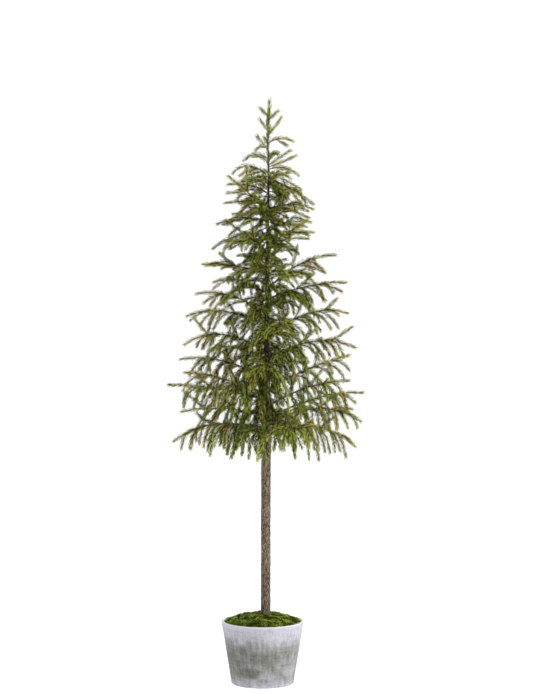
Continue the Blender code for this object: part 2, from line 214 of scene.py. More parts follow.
# height on the stem, bearing, reach, rise at the stem and at the tip
limbTable = (
    (0.626, 62, 0.124, 24, -80),
    (0.629, 240, 0.116, 22, -80),
    (0.634, 126, 0.236, 12, -44),
    (0.638, 4, 0.234, 10, -48),
    (0.643, 188, 0.240, 10, -38),
    (0.650, 291, 0.216, 16, -62),
    (0.656, 336, 0.264, 24, -34),
    (0.662, 76, 0.225, 18, -36),
    (0.670, 20, 0.264, 24, -4),
    (0.674, 150, 0.246, 10, -14),
    (0.700, 318, 0.258, 24, 0),
    (0.706, 240, 0.232, 28, -20),
    (0.715, 178, 0.256, 14, -2),
    (0.726, 106, 0.228, 28, -22),
    (0.730, 209, 0.246, 20, 2),
    (0.745, 24, 0.250, 24, 10),
    (0.756, 270, 0.222, 30, -28),
    (0.772, 190, 0.224, 26, -12),
    (0.790, 62, 0.222, 30, -24),
    (0.808, 134, 0.226, 26, -24),
    (0.824, 346, 0.238, 24, -26),
    (0.838, 206, 0.228, 28, -36),
    (0.856, 290, 0.210, 32, -30),
    (0.876, 14, 0.226, 36, -20),
    (0.890, 98, 0.204, 30, -28),
    (0.902, 172, 0.208, 26, -26),
    (0.930, 216, 0.206, 30, -14),
    (0.945, 60, 0.188, 32, -22),
    (0.968, 332, 0.222, 18, -4),
    (0.982, 142, 0.180, 30, -22),
    (0.998, 20, 0.188, 42, -2),
    (1.006, 274, 0.160, 34, -28),
    (1.034, 190, 0.168, 12, -2),
    (1.055, 98, 0.148, 34, -26),
    (1.082, 240, 0.138, 34, -40),
    (1.100, 310, 0.158, 28, -28),
    (1.116, 146, 0.150, 24, -74),
    (1.140, 34, 0.132, 26, -14),
    (1.160, 270, 0.118, 34, -26),
    (1.166, 186, 0.134, 2, -20),
    (1.184, 102, 0.112, 30, -24),
    (1.191, 207, 0.116, 40, 30),
    (1.194, 328, 0.130, 12, -30),
    (1.234, 138, 0.108, 32, -34),
    (1.250, 256, 0.092, 34, -30),
    (1.270, 60, 0.106, 26, -34),
    (1.268, 346, 0.118, -26, -40),
    (1.279, 176, 0.092, 42, -66),
)
bareLimbs = (4, 5, 7, 9, 11, 13, 16)  # with a bare bough as their inner end

# sprays of the top shoot: height, bearing, length, rise at the root, how fast it bends down
leaderTable = (
    (1.423, 180, 0.038, 48, 0.0),
    (1.416, 0, 0.039, 46, 0.03),
    (1.406, 268, 0.038, 44, 0.03),
    (1.397, 92, 0.040, 42, 0.03),
    (1.389, 182, 0.041, 54, 0.0),
    (1.376, 356, 0.064, 54, 0.0),
    (1.366, 276, 0.050, 46, 0.06),
    (1.357, 8, 0.075, 36, 0.30),
    (1.352, 104, 0.056, 40, 0.10),
    (1.348, 176, 0.047, 32, -0.22),
    (1.342, 204, 0.044, 34, 0.42),
    (1.318, 182, 0.074, 35, 0.38),
    (1.322, 300, 0.056, 22, 0.20),
    (1.320, 62, 0.070, 34, 0.14),
    (1.312, 326, 0.032, 50, 0.0),
    (1.306, 236, 0.074, 30, 0.20),
    (1.302, 4, 0.074, 36, 0.02),
    (1.298, 350, 0.080, 18, -0.03),
    (1.292, 12, 0.088, 18, 0.27),
)


def stemAxis(z):
    line = stemLine
    share = (z - line["base"]) / (line["top"] - line["base"])
    shoot = max(z - line["end"], 0.0) / (line["top"] - line["end"])
    bow = line["shootBow"] * math.sin(math.pi * shoot)
    return Vector((line["footX"] + line["lean"] * share**2.4 - bow, 0.0, z))


def stemRadius(z):
    line = stemLine
    if z > line["crownFoot"]:
        share = (z - line["crownFoot"]) / (line["end"] - line["crownFoot"])
        return line["tipRadius"] + (line["radius"] - line["tipRadius"]) * (1 - share) ** 1.4
    rise = max(z - line["flareFrom"], 0.0)
    return line["radius"] + line["flare"] * math.exp(-rise / line["flareHeight"])


def heading(bearing, rise):
    level = math.cos(math.radians(rise))
    turn = math.radians(bearing)
    return Vector((level * math.cos(turn), level * math.sin(turn), math.sin(math.radians(rise))))


def swing(one, other, degrees):
    # turned this far from one direction towards the other
    angle = math.radians(degrees)
    return one * math.cos(angle) + other * math.sin(angle)


def along(points, share):
    place = share * (len(points) - 1)
    k = min(int(place), len(points) - 2)
    return points[k].lerp(points[k + 1], place - k)


def sprayPath(root, way, length, weep):
    # starts along a heading and bends down by weep at each step
    points = [root]
    for _ in range(growth["spraySteps"]):
        points.append(points[-1] + way * (length / growth["spraySteps"]))
        way = (way - Vector((0, 0, weep))).normalized()
    return points


def hangAt(z):
    # how freely things hang at this height, from 0 to 1
    return min(max((growth["hangFrom"] - z) / growth["hangOver"], 0.0), 1.0)


# the bent line of one limb, from the bark to the tip of its last spray
class Limb:
    def __init__(self, number, height, bearing, reach, rise, fall):
        self.number = number
        self.height = height
        self.bearing = bearing
        self.rise = rise
        self.fall = fall
        self.bare = growth["bareShare"] if number in bareLimbs else 0.0
        self.random = random.Random(100 + number)
        self.curl = self.random.uniform(-growth["limbCurl"], growth["limbCurl"])
        steps = growth["limbSteps"]
        middles = [(k + 0.5) / steps for k in range(steps)]
        level = sum(math.cos(math.radians(self.riseAt(share))) for share in middles) / steps
        self.length = (reach - stemRadius(height)) / level
        self.spraysEnd = 1 - growth["endSpray"] / self.length
        foot = stemAxis(height) + heading(bearing, 0) * (stemRadius(height) + growth["gap"])
        self.points = [foot, foot + heading(bearing, 0) * growth["elbow"]]
        for share in middles:
            step = self.headingAt(share) * (self.length - growth["elbow"]) / steps
            self.points.append(self.points[-1] + step)

    def riseAt(self, share):
        return self.rise + (self.fall - self.rise) * share**1.5

    def headingAt(self, share):
        return heading(self.bearing + self.curl * share, self.riseAt(share))

    def at(self, share):
        elbow = growth["elbow"]
        if share * self.length <= elbow:
            return self.points[0].lerp(self.points[1], share * self.length / elbow)
        return along(self.points[1:], (share * self.length - elbow) / (self.length - elbow))

    def hang(self, share):
        return hangAt(self.height) ** 1.5 * (1 - 0.75 * share)

    def sideSpray(self, share, side, attempt, rises):
        draw = self.random.uniform
        if rises:
            length = growth["riserLength"] * draw(0.85, 1.15)
            spread, roll = draw(*growth["riserSpread"]), draw(*growth["riserRoll"])
            weep = growth["riserWeep"]
        else:
            hanging = growth["sprayHanging"] * self.hang(share)
            length = growth["sprayLength"] * (1 - growth["sprayShortening"] * share + hanging)
            length *= draw(0.85, 1.12)
            spread, roll = draw(*growth["spread"]) - 14 * share, draw(*growth["roll"]) - 4 * attempt
            least, more = growth["weep"]
            weep = (least + more * self.hang(share)) * draw(0.7, 1.3)
        least, whole = growth["shortLimb"]
        length *= min(1.0, least + self.length / whole) * (1 - 0.05 * attempt)
        return sprayPath(self.at(share), self.sideWay(share, side, spread, roll), length, weep)

    def sideWay(self, share, side, spread, roll):
        ahead = self.headingAt(share)
        aside = ahead.cross(Vector((0, 0, 1))).normalized() * side
        above = aside.cross(ahead) * side
        return swing(ahead, swing(aside, above, roll), spread)

    def endSpray(self):
        steps = growth["spraySteps"]
        root = self.spraysEnd - growth["endRoot"] / self.length
        return [self.at(root + (1 - root) * k / steps) for k in range(steps + 1)]


# the space already taken, as balls sorted into cells, so that no two masses meet
class Space:
    def __init__(self, cell=0.030):
        self.size = cell
        self.cells = {}

    def cell(self, point):
        return tuple(math.floor(c / self.size) for c in point)

    def take(self, owner, point, radius, ownRoom=0.0):
        self.cells.setdefault(self.cell(point), []).append((owner, point, radius, ownRoom))

    def isFree(self, owner, point, radius, amongOwn):
        cell = self.cell(point)
        for step in itertools.product((-1, 0, 1), repeat=3):
            near = tuple(a + b for a, b in zip(cell, step))
            for other, place, size, ownRoom in self.cells.get(near, ()):
                room = size + radius if other != owner else ownRoom * amongOwn
                if (place - point).length < room:
                    return False
        return True

    def fits(self, owner, points):
        samples, radius = growth["samples"], growth["sprayRadius"] + 0.001
        places = ((k, along(points, k / samples)) for k in range(2, samples + 1))
        return all(self.isFree(owner, place, radius, k > 5) for k, place in places)

    def takeSpray(self, owner, points):
        for k in range(2, growth["samples"] + 1):
            ownRoom = growth["ownRoom"] if k > 4 else 0.0
            self.take(owner, along(points, k / growth["samples"]), growth["sprayRadius"], ownRoom)

    def takeLimb(self, limb):
        for k in range(1, 61):
            clothed = k / 60 > limb.spraysEnd
            self.take(limb.number, limb.at(k / 60), growth["sprayRadius" if clothed else "boughRadius"])

    def takeStem(self):
        low = stemLine["crownFoot"] - 0.15
        for k in range(80):
            z = low + (stemLine["end"] - low) * k / 80
            self.take("stem", stemAxis(z), stemRadius(z) + 0.003)


def growSprays(limb, space):
    # to the left and the right in turn, each tried a few times before it is skipped
    start = max(limb.bare + 0.02, 0.06)
    span = limb.spraysEnd - start
    count = round(span * limb.length / growth["spraySpacing"])
    grown = []
    for k in range(count):
        share = start + span * (k + 0.5) / count
        rises = k % growth["riserEvery"] == growth["riserEvery"] - 2
        for attempt in range(growth["tries"]):
            points = limb.sideSpray(share, 1 if k % 2 else -1, attempt, rises)
            if space.fits(limb.number, points):
                space.takeSpray(limb.number, points)
                grown.append(points)
                break
    return grown


def leaderSprays():
    sprays = []
    for z, bearing, length, rise, weep in leaderTable:
        sprays.append(sprayPath(stemAxis(z), heading(bearing, rise), length, weep))
    steps = growth["spraySteps"]
    root = stemLine["top"] - growth["leaderEnd"] - growth["leaderRoot"]
    sprays.append([stemAxis(root + (stemLine["top"] - root) * k / steps) for k in range(steps + 1)])
    return sprays


def shootLine():
    # the core of the top shoot, from just inside the stem to short of the tip
    low, high = stemLine["end"] - 0.01, stemLine["top"] - 0.03
    return [stemAxis(low + (high - low) * k / 10) for k in range(11)]


def growSolids():
    # the limbs and the sprays that the solids have
    limbs = [Limb(number + 1, *row) for number, row in enumerate(limbTable)]
    space = Space()
    space.takeStem()
    sprays = leaderSprays()
    for points in sprays:
        space.takeSpray("leader", points)
    for limb in limbs:
        space.takeLimb(limb)
    for limb in limbs:
        sprays += growSprays(limb, space)
        sprays.append(limb.endSpray())
    return limbs, sprays


# finer growth between the sprays that the solids have, within the same reach
fill = {
    "spacing": 0.0250,  # between the extra sprays along a limb
    "length": 0.086,
    "inward": 2.3,  # above 1 the extra sprays stand closer towards the stem
    "spread": (34, 68),
    "roll": (-100, 60),
    "weep": (0.22, 0.70),
    "shortLimb": (0.55, 0.42),
    "forkLeast": 0.058,  # a spray longer than this may fork
    "forkShare": 0.28,
    "forkSpread": (30, 50),
    "stemSprays": 205,
    "stemLength": 0.070,
    "stemRise": (-55, 48),
    "stemWeep": (0.08, 0.40),
    "room": 0.004,  # kept inside the reach of the solids
    "lowest": 0.555,  # where the tips end below, and the room kept at the top
    "topRoom": 0.02,
}
# how far the tips stand from the stem, the least at the top, with a cone above a height
crown = {"widest": 0.262, "least": 0.045, "coneFrom": 0.70, "slope": 0.262}


def pathLength(points):
    return sum((b - a).length for a, b in zip(points, points[1:]))


def crownReach(z):
    cone = crown["widest"] - (z - crown["coneFrom"]) * crown["slope"]
    return max(crown["least"], min(crown["widest"], cone))


def staysIn(points):
    tip = points[-1]
    low, high = cadBounds[0][2] + fill["lowest"], stemLine["top"] - fill["topRoom"]
    near = math.hypot(tip.x - stemAxis(tip.z).x, tip.y) < crownReach(tip.z) - fill["room"]
    return near and low < tip.z < high


def fillLimb(limb):
    # more sprays along a limb, most of them towards the stem
    draw = random.Random(500 + limb.number).uniform
    start = max(limb.bare, 0.05)
    leastWeep, moreWeep = fill["weep"]
    least, whole = fill["shortLimb"]
    span = limb.spraysEnd - start
    count = round(span * limb.length / fill["spacing"])
    for k in range(count):
        share = start + span * ((k + draw(0.2, 0.8)) / count) ** fill["inward"]
        spread, roll = draw(*fill["spread"]), draw(*fill["roll"])
        weep = (leastWeep + moreWeep * limb.hang(share)) * draw(0.6, 1.3)
        length = fill["length"] * (1 - 0.30 * share) * draw(0.7, 1.15)
        length *= min(1.0, least + limb.length / whole)
        way = limb.sideWay(share, 1 if k % 2 else -1, spread, roll)
        yield sprayPath(limb.at(share), way, length, weep)


def forkSprays(sprays):
    # a second finger out of some of the long sprays
    draw = random.Random(900).uniform
    for points in sprays:
        length = pathLength(points)
        if length < fill["forkLeast"] or draw(0, 1) > fill["forkShare"]:
            continue
        share = draw(0.14, 0.38)
        ahead = (along(points, share + 0.1) - along(points, share)).normalized()
        turn = Matrix.Rotation(math.radians(draw(0, 360)), 3, ahead)
        out = turn @ ahead.orthogonal().normalized()
        way = swing(ahead, out, draw(*fill["forkSpread"]))
        length = length * (1 - share) * draw(0.55, 0.85)
        yield sprayPath(along(points, share), way, length, draw(0.0, 0.22))


def stemSprays():
    # short sprays straight out of the stem, all round it
    draw = random.Random(700).uniform
    count = fill["stemSprays"]
    low, span = stemLine["crownFoot"] + 0.05, stemLine["end"] - stemLine["crownFoot"] - 0.06
    leastWeep, moreWeep = fill["stemWeep"]
    for k in range(count):
        z = low + span * (k + draw(0, 1)) / count
        bearing = 137.5 * k + draw(-25, 25)
        root = stemAxis(z) + heading(bearing, 0) * stemRadius(z) * 0.8
        way = heading(bearing, draw(*fill["stemRise"]))
        length = fill["stemLength"] * draw(0.6, 1.15)
        yield sprayPath(root, way, length, leastWeep + moreWeep * hangAt(z) * draw(0.5, 1.3))


# long light sprays that hang in front: how far across, height they hang from, length
frontTable = (
    (0.064, 1.084, 0.084),
    (0.006, 0.958, 0.092),
    (-0.034, 0.836, 0.062),
    (0.064, 0.748, 0.068),
    (0.100, 0.684, 0.062),
    (-0.012, 0.644, 0.078),
)
frontLook = {
    "from": 0.2,  # share of a limb that one may hang from, and how much further out
    "over": 0.45,
    "places": 40,
    "depth": 0.14,  # how far in front of the stem they hang
    "depthWeight": 0.8,
    "forward": 0.03,
    "tone": 2.5,
    "hue": 0.32,
}


def hangingPath(root, tip):
    # out from the limb and then down
    points = []
    for k in range(growth["spraySteps"] + 1):
        share = k / growth["spraySteps"]
        point = root.lerp(tip, 1 - (1 - share) ** 2)
        point.z = root.z + (tip.z - root.z) * share**1.5
        points.append(point)
    return points


def frontSprays(limbs):
    # each hangs from the limb that passes nearest to its place
    look = frontLook
    grown = []
    for across, z, length in frontTable:
        near = []
        for limb in limbs:
            for k in range(look["places"] + 1):
                root = limb.at(look["from"] + look["over"] * k / look["places"])
                behind = look["depthWeight"] * max(root.y + look["depth"], 0.0)
                away = math.hypot(root.x - across, root.z - z) + behind
                near.append((away, limb.number, k, root))
        root = min(near)[3]
        grown.append(hangingPath(root, Vector((across, root.y - look["forward"], z - length))))
    return grown


def joinedMesh(name, corners, triangles):
    # corners: copies x points of one copy x 3; triangles: those of one copy
    copies, each, _ = corners.shape
    faces = (triangles[None] + each * np.arange(copies)[:, None, None]).astype(np.int32).ravel()
    mesh = bpy.data.meshes.new(name)
    mesh.vertices.add(copies * each)
    mesh.vertices.foreach_set("co", corners.astype(np.float32).ravel())
    mesh.loops.add(len(faces))
    mesh.loops.foreach_set("vertex_index", faces)
    mesh.polygons.add(len(faces) // 3)
    mesh.polygons.foreach_set("loop_start", np.arange(0, len(faces), 3, dtype=np.int32))
    mesh.update(calc_edges=True)
    mesh.shade_smooth()
    return mesh


def arraysOf(bm):
    # one small shape as points and triangles
    bmesh.ops.triangulate(bm, faces=bm.faces[:])
    bmesh.ops.recalc_face_normals(bm, faces=bm.faces[:])
    bm.verts.index_update()
    points = np.array([vert.co[:] for vert in bm.verts])
    triangles = np.array([[vert.index for vert in face.verts] for face in bm.faces])
    bm.free()
    return points, triangles


def newObject(name, data):
    made = bpy.data.objects.new(name, data)
    bpy.context.scene.collection.objects.link(made)
    return made


def addPiece(mesh, finish, slotName, *nodes):
    # named as its mesh
    mesh.materials.append(finish.material)
    piece = newObject(mesh.name, mesh)
    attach(piece, "root")
    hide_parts(*nodes)


def meshOf(bm, name):
    mesh = bpy.data.meshes.new(name)
    bm.to_mesh(mesh)
    bm.free()
    mesh.shade_smooth()
    return mesh


def extrudeEdges(bm, edges):
    # the new edges and the new corners
    made = bmesh.ops.extrude_edge_only(bm, edges=edges)["geom"]
    rim = [item for item in made if isinstance(item, bmesh.types.BMEdge)]
    ring = [item for item in made if isinstance(item, bmesh.types.BMVert)]
    return rim, ring


def turnLine(bm, line, steps):
    # a surface turned round the z axis, from (radius, height) pairs
    verts = [bm.verts.new((radius, 0, z)) for radius, z in line]
    edges = [bm.edges.new(pair) for pair in zip(verts, verts[1:])]
    bmesh.ops.spin(bm, geom=verts + edges, cent=(0, 0, 0), axis=(0, 0, 1), angle=math.tau,
                   steps=steps, use_merge=True)


def unit(vectors):
    return vectors / np.linalg.norm(vectors, axis=-1, keepdims=True)


# several paths of evenly spaced points, read as smooth curves at any share of their length
class Strands:
    def __init__(self, paths):
        points = np.array([[point[:] for point in path] for path in paths])
        self.steps = points.shape[1] - 1
        before = 2 * points[:, :1] - points[:, 1:2]
        after = 2 * points[:, -1:] - points[:, -2:-1]
        self.points = np.concatenate((before, points, after), axis=1)
        self.lengths = np.linalg.norm(np.diff(points, axis=1), axis=2).sum(axis=1)
        first = points[:, 1] - points[:, 0]
        across = np.cross(first, (0.0, 0.0, 1.0))
        upright = np.linalg.norm(across, axis=1) < 0.05 * np.linalg.norm(first, axis=1)
        across[upright] = (1.0, 0.0, 0.0)
        self.across = unit(across)

    def read(self, strand, share):
        # place, heading and two directions square to it
        place = np.clip(share, 0.0, 1.0) * self.steps
        k = np.minimum(place.astype(int), self.steps - 1)
        s = (place - k)[..., None]
        before, near, far, after = (self.points[strand, k + step] for step in range(4))
        bend = 2 * before - 5 * near + 4 * far - after
        twist = 3 * near - before - 3 * far + after
        centre = 0.5 * (2 * near + (far - before) * s + bend * s**2 + twist * s**3)
        ahead = unit(0.5 * ((far - before) + 2 * bend * s + 3 * twist * s**2))
        across = self.across[strand]
        across = unit(across - ahead * (across * ahead).sum(axis=-1)[..., None])
        return centre, ahead, across, np.cross(ahead, across)


def tubeShape(sides, rings):
    # a closed unit tube along z, from 0 to 1
    bm = bmesh.new()
    bmesh.ops.create_circle(bm, cap_ends=True, segments=sides, radius=1.0)
    rim = bm.edges[:]
    for _ in range(rings):
        rim, ring = extrudeEdges(bm, rim)
        bmesh.ops.translate(bm, vec=(0, 0, 1 / rings), verts=ring)
    bmesh.ops.holes_fill(bm, edges=rim)
    return arraysOf(bm)


def bendTubes(name, strands, parts, end, radiusAt):
    # unit tubes bent along every strand, from its root to a share of it
    points, triangles = tubeShape(*parts)
    strand = np.arange(len(strands.points))[:, None]
    share = np.broadcast_to(end, len(strand))[:, None] * points[None, :, 2]
    centre, _, across, above = strands.read(np.broadcast_to(strand, share.shape), share)
    rim = across * points[None, :, :1] + above * points[None, :, 1:2]
    return joinedMesh(name, centre + radiusAt(share, strand)[..., None] * rim, triangles)


needleLook = {
    "perMetre": 1060,
    "length": 0.0122,
    "width": 0.0017,
    "shares": (0.0, 0.5, 0.76, 1.0),  # along a spray, for the two rows below
    "angles": (35, 34, 28, 12),
    "sizes": (1.0, 1.0, 0.95, 0.80),
    "angleSpread": 5.0,
    "crowding": 0.92,  # below 1 the needles stand closer towards the tip
    "from": 0.05,  # share of a spray where they start
    "short": 0.62,  # of a needle's length that they end before the tip
    "broad": 0.56,  # where a needle is widest
    "root": 0.0006,  # how far out of the middle of its spray it starts
    "limbPerMetre": 800,
    "limbAngles": (44, 44, 40, 38),
    "shootAngles": (30, 36, 42, 22),
    "speckle": 1.5,  # how far the tone changes from one small cell of space to the next
    "speckleSize": 0.0040,
    "toneSpread": 0.35,
    "toneSlope": 0.60,  # how much lighter the needles are at a spray's tip
    "limbTones": (0.30, 0.90),  # painted shade: darker at the stem, and how much lighter at the limb's tip
    "shootTone": 1.5,
    "hueSpread": 0.12,
    "limbHue": 0.62,
    "shootHue": 0.40,
    "curve": 0.10,  # how much a needle bends towards its spray's tip
    "seed": 11,
}
# the first tone of each family, nearly black, is painted shade among the needles
needleTones = {
    "green": ((0.028, 0.038, 0.005), (0.124, 0.168, 0.018), (0.262, 0.338, 0.040), (0.480, 0.565, 0.086)),
    "olive": ((0.035, 0.035, 0.006), (0.156, 0.159, 0.026), (0.326, 0.330, 0.056), (0.570, 0.555, 0.125)),
    "brown": ((0.040, 0.031, 0.009), (0.172, 0.140, 0.036), (0.358, 0.302, 0.080), (0.605, 0.520, 0.170)),
}
hueEnds = (0.40, 0.72)  # a needle's hue below the first is green, above the second brown


def needleShape():
    # a slim three-sided needle along z, widest past its middle
    broad = needleLook["broad"]
    bm = bmesh.new()
    bmesh.ops.create_cone(bm, cap_ends=True, segments=3, radius1=0.5, radius2=0.0, depth=1 - broad)
    bmesh.ops.translate(bm, vec=(0, 0, (1 + broad) / 2), verts=bm.verts[:])
    cap = [face for face in bm.faces if abs(face.normal.z) > 0.9]
    bmesh.ops.poke(bm, faces=cap, offset=broad)
    return arraysOf(bm)


def needleRows(strands, start, end, perMetre, angles, rng):
    # where each needle roots and which way it points, one after the other round every strand
    look = needleLook
    counts = np.maximum(np.round(strands.lengths * (end - start) * perMetre), 2).astype(int)
    total = counts.sum()
    strand = np.repeat(np.arange(len(counts)), counts)
    rank = np.arange(total) - np.repeat(np.cumsum(counts) - counts, counts)
    drawn = rng.uniform(0, 1, (3, total))
    share = ((rank + drawn[0]) / counts[strand]) ** look["crowding"]
    root = np.broadcast_to(start, len(counts))[strand]
    share = root + (np.broadcast_to(end, len(counts))[strand] - root) * share
    centre, ahead, across, above = strands.read(strand, share)
    turn = np.radians(137.508 * rank + 50 * drawn[1])[:, None]
    out = across * np.cos(turn) + above * np.sin(turn)
    lean = np.interp(share, look["shares"], angles) + rng.normal(0, look["angleSpread"], total)
    lean = np.radians(lean)[:, None]
    way = ahead * np.cos(lean) + out * np.sin(lean)
    length = look["length"] * np.interp(share, look["shares"], look["sizes"])
    return {
        "strand": strand,
        "share": share,
        "root": centre + out * look["root"],
        "way": way,
        "ahead": ahead,
        "side": np.cross(way, ahead + 0.01),
        "length": length * (0.90 + 0.16 * drawn[2]),
    }


def needleCorners(rows, points, width, curve):
    side = unit(rows["side"])
    other = np.cross(rows["way"], side)
    z = points[None, :, 2:3]
    length = rows["length"][:, None, None]
    corners = rows["root"][:, None] + rows["way"][:, None] * length * z
    corners = corners + rows["ahead"][:, None] * length * curve * z**2
    return corners + width * (side[:, None] * points[None, :, :1] + other[:, None] * points[None, :, 1:2])


def speckles(places, size, rng):
    # one value for all that stands in the same small cell of space
    values = rng.normal(0, 1, 4096)
    cells = np.floor(places / size).astype(np.int64)
    return values[(cells * (73856093, 19349663, 83492791)).sum(axis=1) % len(values)]


def joinRows(groups):
    return {key: np.concatenate([group[key] for group in groups]) for key in groups[0]}


def growNeedles(limbs, sprays, tones, hues):
    look = needleLook
    rng = np.random.default_rng(look["seed"])
    strands = Strands(sprays)
    end = 1 - look["length"] * look["short"] / strands.lengths
    rows = needleRows(strands, look["from"], end, look["perMetre"], look["angles"], rng)
    rows["tone"] = tones[rows["strand"]] + look["toneSlope"] * (rows["share"] - 0.5)
    rows["hue"] = hues[rows["strand"]]
    twigs = Strands([limb.points[1:] for limb in limbs])
    start = np.array([limb.bare + 0.08 for limb in limbs])
    ends = np.array([limb.spraysEnd for limb in limbs])
    close = needleRows(twigs, start, ends, look["limbPerMetre"], look["limbAngles"], rng)
    close["tone"] = look["limbTones"][0] + look["limbTones"][1] * close["share"]
    close["hue"] = np.full(len(close["share"]), look["limbHue"])
    top = needleRows(Strands([shootLine()]), 0.0, 1.0, look["limbPerMetre"], look["shootAngles"], rng)
    top["tone"] = np.full(len(top["share"]), look["shootTone"])
    top["hue"] = np.full(len(top["share"]), look["shootHue"])
    rows = joinRows((rows, close, top))
    total = len(rows["tone"])
    middle = rows["root"] + rows["way"] * rows["length"][:, None] * 0.6
    tone = rows["tone"] + look["speckle"] * speckles(middle, look["speckleSize"], rng)
    tone = tone + rng.normal(0, look["toneSpread"], total)
    hue = rows["hue"] + rng.normal(0, look["hueSpread"], total)
    points, triangles = needleShape()
    corners = needleCorners(rows, points, look["width"], look["curve"])
    family = np.digitize(hue, hueEnds)
    level = np.digitize(tone, np.quantile(tone, (0.25, 0.5, 0.75)))  # a quarter of the needles each
    for k, (hueName, colours) in enumerate(needleTones.items()):
        for number, colour in enumerate(colours):
            chosen = np.nonzero((family == k) & (level == number))[0]
            mesh = joinedMesh(f"needles_{hueName}_{number + 1}", corners[chosen], triangles)
            addPiece(mesh, Finish(mesh.name, colour, 0.6, 0.06), "needles", *massNodes)
            print(mesh.name, len(chosen), "needles,", len(mesh.polygons), "triangles")


# how much lighter the sprays are that reach far out, to a side, low down or near the top; the far-out
# part is painted shade, darker deep inside the crown
sprayLight = {"out": 0.60, "side": 0.65, "low": 0.20, "high": 0.75, "spread": 1.1}
sprayHue = {"middle": 0.29, "side": 0.42, "spread": 0.26}  # high is faded and brownish


def sprayTints(sprays, front):
    light, faded = sprayLight, sprayHue
    drawTone, drawHue = random.Random(300).uniform, random.Random(310).uniform
    tones, hues = [], []
    for points in sprays:
        tip = points[-1]
        across, reach = tip.x - stemAxis(tip.z).x, crownReach(tip.z)
        out, side = math.hypot(across, tip.y) / reach, min(abs(across) / reach, 1.0)
        low = min(max((0.70 - tip.z) / 0.12, 0.0), 1.0)
        high = min(max((tip.z - 1.10) / 0.25, 0.0), 1.0)
        tone = light["out"] * min(out, 1.0) ** 1.3 + light["side"] * side
        tones.append(tone + light["low"] * low + light["high"] * high + drawTone(0.0, light["spread"]))
        hues.append(faded["middle"] + faded["side"] * side + drawHue(-faded["spread"], faded["spread"]))
    tones += [frontLook["tone"]] * len(front)
    hues += [frontLook["hue"]] * len(front)
    return np.array(tones), np.array(hues)


barkLook = {
    "sides": 72,
    "ringStep": 0.0030,
    "relief": 0.0017,
    "light": (0.320, 0.252, 0.190),
    "mid": (0.122, 0.091, 0.066),
    "dark": (0.030, 0.020, 0.013),
    "shadeFrom": 0.715,  # painted shade: the stem is painted darker inside the crown, where the foliage shades it
    "shadeTo": 0.800,
    "shade": 0.62,
    "bump": 0.0012,
}


def barkFinish():
    finish = Finish("bark", barkLook["mid"], 0.9, 0.2)
    fibre = finish.noise(finish.places((1, 1, 0.22)), 520.0, 4.0, 0.7)
    flake = finish.noise(finish.places((1, 1, 0.42)), 330.0, 3.0, 0.65, 0.5)
    patch = finish.noise(finish.places(), 28.0, 2.0)
    height = fibre * 0.4 + flake * 0.6
    stops = ((0.40, barkLook["dark"]), (0.49, barkLook["mid"]), (0.60, barkLook["light"]))
    tint = finish.ramp(height + (patch - 0.5) * 0.14, *stops)
    # painted shade: the bark is mixed towards its dark tone inside the crown
    places = finish.add("ShaderNodeTexCoord", {}, {}, "Object")
    z = finish.add("ShaderNodeSeparateXYZ", {}, {"Vector": places}, "Z")
    shade = finish.step(z, barkLook["shadeFrom"], barkLook["shadeTo"])
    tint = finish.mix(shade * barkLook["shade"], tint, barkLook["dark"])
    finish.paint(tint, height, barkLook["bump"], 0.9)
    return finish


def barkRelief(point, axis, depth):
    # fibres that run up the bark, broken into flakes
    out = (point - axis).normalized()
    spot = Vector((out.x * 3.4, out.y * 3.4, point.z * 62.0))
    fibre = 1 - abs(noise.noise(spot * 1.9))
    flake = noise.noise(Vector((out.x * 5.5, out.y * 5.5, point.z * 120.0)))
    lump = noise.noise(Vector((out.x * 1.2, out.y * 1.2, point.z * 14.0)))
    return depth * (0.32 + 0.45 * (fibre - 0.70) + 0.42 * flake + 0.30 * lump)


def growStem(finish):
    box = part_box("stem")
    low, high = box[0][2], min(box[1][2], stemLine["end"])
    rings = round((high - low) / barkLook["ringStep"])
    bm = bmesh.new()
    bmesh.ops.create_circle(bm, cap_ends=True, segments=barkLook["sides"], radius=1.0)
    rim, ring, last = bm.edges[:], bm.verts[:], Vector()
    for k in range(rings + 1):
        if k:
            rim, ring = extrudeEdges(bm, rim)
        z = low + (high - low) * k / rings
        axis, radius = stemAxis(z), stemRadius(z)
        depth = barkLook["relief"] * min(1.0, radius / stemLine["radius"] * 1.2)
        for vert in ring:
            out = Vector((vert.co.x - last.x, vert.co.y - last.y, 0)).normalized()
            place = axis + out * radius
            vert.co = place + out * barkRelief(place, axis, depth)
        last = axis
    bmesh.ops.holes_fill(bm, edges=rim)
    bmesh.ops.recalc_face_normals(bm, faces=bm.faces[:])
    addPiece(meshOf(bm, "stem_bark"), finish, "bark", "stem")
    print("stem:", rings, "rings")


twigLook = {
    "limbParts": (8, 40),  # sides and rings
    "shootParts": (8, 24),
    "stalkParts": (5, 6),
    "rough": 0.00035,
    "roughScale": 260.0,
    "roughSeed": 3,
    "shootTaper": 0.5,
    "stalkRadius": 0.0013,
    "stalkTaper": 0.0005,
    "stalkShort": 0.006,  # stalks end this far before the tip
    "stalk": (0.056, 0.046, 0.012),
}


